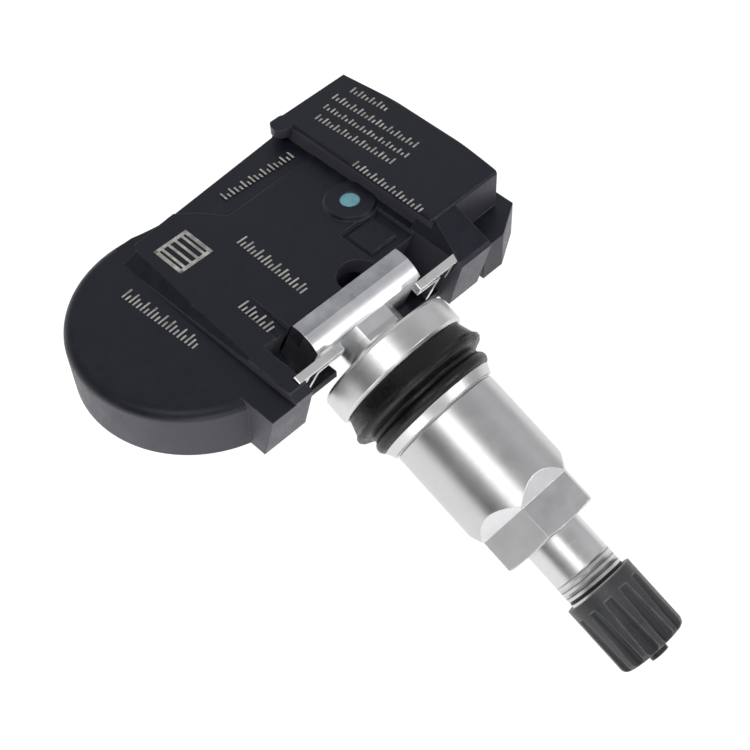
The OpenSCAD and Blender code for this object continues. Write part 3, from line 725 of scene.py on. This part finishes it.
def buildMarks():
    stroke = modelStroke()
    strokes = []
    for row in markSettings["rows"]:
        strokes.extend(drawRow(stroke, *row))
    strokes.extend(drawFrame(stroke))
    bpy.data.objects.remove(stroke)
    count = len(strokes)
    marks = joinPieces(strokes)
    marks.name = "laserMarks"
    marks.data.materials.append(buildFinish("laserMark", markSettings["look"]))
    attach(marks, "housing")
    print("laser marks drawn with", count, "strokes")


buildMarks()


# Stage

stageSettings = {
    "floorHeight": -78 * mm,
    "floorSize": 4.0,
    "paper": (0.9, 0.9, 0.9),
    "paperRoughness": 0.9,
    "background": (1, 1, 1),
    "whiteness": 0.2,  # how far the floor is plain white to the eye, and the rest takes the shadow
    "glow": 2.6,
}


def buildFloor():
    bpy.ops.object.select_all(action="DESELECT")
    place = (0, 0, stageSettings["floorHeight"])
    bpy.ops.mesh.primitive_plane_add(size=stageSettings["floorSize"], location=place)
    floor = bpy.context.object
    floor.name = "floor"
    material = bpy.data.materials.new("floorPaper")
    material.use_nodes = True
    tree = material.node_tree
    shader = tree.nodes["Principled BSDF"]
    shader.inputs["Base Color"].default_value = (*stageSettings["paper"], 1)
    shader.inputs["Roughness"].default_value = stageSettings["paperRoughness"]
    glow = addNode(tree, "ShaderNodeEmission", {
        "Color": (*stageSettings["background"], 1), "Strength": stageSettings["glow"]})
    path = addNode(tree, "ShaderNodeLightPath")
    seen = mathNode(tree, "MAXIMUM", path.outputs["Is Camera Ray"], path.outputs["Is Glossy Ray"])
    seen = mathNode(tree, "MAXIMUM", seen, path.outputs["Is Transmission Ray"])
    mix = addNode(tree, "ShaderNodeMixShader")
    wire(tree, mathNode(tree, "MULTIPLY", seen, stageSettings["whiteness"]), mix.inputs[0])
    wire(tree, shader.outputs[0], mix.inputs[1])
    wire(tree, glow.outputs[0], mix.inputs[2])
    below = addNode(tree, "ShaderNodeMixShader")  # the floor isn't seen from underneath
    wire(tree, addNode(tree, "ShaderNodeNewGeometry").outputs["Backfacing"], below.inputs[0])
    wire(tree, mix.outputs[0], below.inputs[1])
    wire(tree, addNode(tree, "ShaderNodeBsdfTransparent").outputs[0], below.inputs[2])
    wire(tree, below.outputs[0], tree.nodes["Material Output"].inputs["Surface"])
    floor.data.materials.append(material)


# The sky is dark low on the left and light on the right, so that metal and black plastic show their form
skySettings = {  # each ramp is a list of height and brightness
    "left": [(0.0, 0.06), (0.3, 0.12), (0.6, 0.4), (0.85, 0.55), (1.0, 0.36)],
    "right": [(0.0, 0.45), (0.35, 0.62), (0.65, 0.62), (0.85, 0.42), (1.0, 0.36)],
    "near": [(0.0, 0.3), (0.25, 0.14), (0.45, 0.3), (0.8, 0.42), (1.0, 0.36)],
    "leftToRight": (-0.25, 0.35),
    "farToNear": (-0.25, -0.6),
    "tint": 1.03,
    "strength": 1.0,
}


def skyRamp(tree, height, stops):
    ramp = addNode(tree, "ShaderNodeValToRGB")
    while len(ramp.color_ramp.elements) < len(stops):
        ramp.color_ramp.elements.new(0.5)  # each one is moved to its own stop below
    for element, (position, level) in zip(ramp.color_ramp.elements, stops):
        element.position = position
        element.color = (level, level, level * skySettings["tint"], 1)
    wire(tree, height, ramp.inputs[0])
    return ramp.outputs[0]


def buildSky():
    world = bpy.data.worlds.new("studio")
    bpy.context.scene.world = world
    world.use_nodes = True
    tree = world.node_tree
    light = tree.nodes["Background"]
    direction = splitAxes(tree, addNode(tree, "ShaderNodeTexCoord").outputs["Generated"])
    left, right, near = [
        skyRamp(tree, direction.outputs[2], skySettings[side]) for side in ("left", "right", "near")]
    across = remap(tree, direction.outputs[0], *skySettings["leftToRight"], 0, 1)
    front = remap(tree, direction.outputs[1], *skySettings["farToNear"], 0, 1)
    sky = mixColour(tree, front, mixColour(tree, across, left, right), near)
    seen = addNode(tree, "ShaderNodeLightPath").outputs["Is Camera Ray"]
    wire(tree, mixColour(tree, seen, sky, stageSettings["background"]), light.inputs["Color"])
    light.inputs["Strength"].default_value = skySettings["strength"]


lampSettings = {  # metres and watts, and every lamp looks at the origin
    "key": {"place": (-0.57, 0.16, 1.04), "size": 0.6, "power": 3.0},
    "near": {"place": (0.4, -0.62, 0.8), "size": 0.42, "power": 2.8},
    "front": {"place": (-0.8, -0.9, 0.14), "size": 0.7, "power": 5.0},
    "edge": {"place": (-0.1, -1.1, 0.33), "size": 0.25, "power": 1.4},
}


def buildLamps():
    for name, lamp in lampSettings.items():
        light = bpy.data.lights.new(name, "AREA")
        light.shape = "SQUARE"
        light.size = lamp["size"]
        light.energy = lamp["power"]
        holder = bpy.data.objects.new(name, light)
        holder.location = lamp["place"]
        holder.rotation_euler = (-Vector(lamp["place"])).to_track_quat("-Z", "Y").to_euler()
        bpy.context.scene.collection.objects.link(holder)


cameraSettings = {
    "location": (-72.46 * mm, -14.18 * mm, 148.65 * mm),
    "turn": (22.52, -13.53, -43.23),  # degrees about X, Y and Z
    "lens": 69.36,
    "sensor": 36,
    "clip": 10 * mm,
}


def buildCamera():
    data = bpy.data.cameras.new("camera")
    data.lens = cameraSettings["lens"]
    data.sensor_width = cameraSettings["sensor"]
    data.clip_start = cameraSettings["clip"]
    holder = bpy.data.objects.new("camera", data)
    holder.location = cameraSettings["location"]
    holder.rotation_euler = [math.radians(angle) for angle in cameraSettings["turn"]]
    bpy.context.scene.collection.objects.link(holder)
    bpy.context.scene.camera = holder


buildFloor()
buildSky()
buildLamps()
buildCamera()
bpy.context.scene.view_settings.view_transform = "Standard"
print("stage, lamps and camera placed")
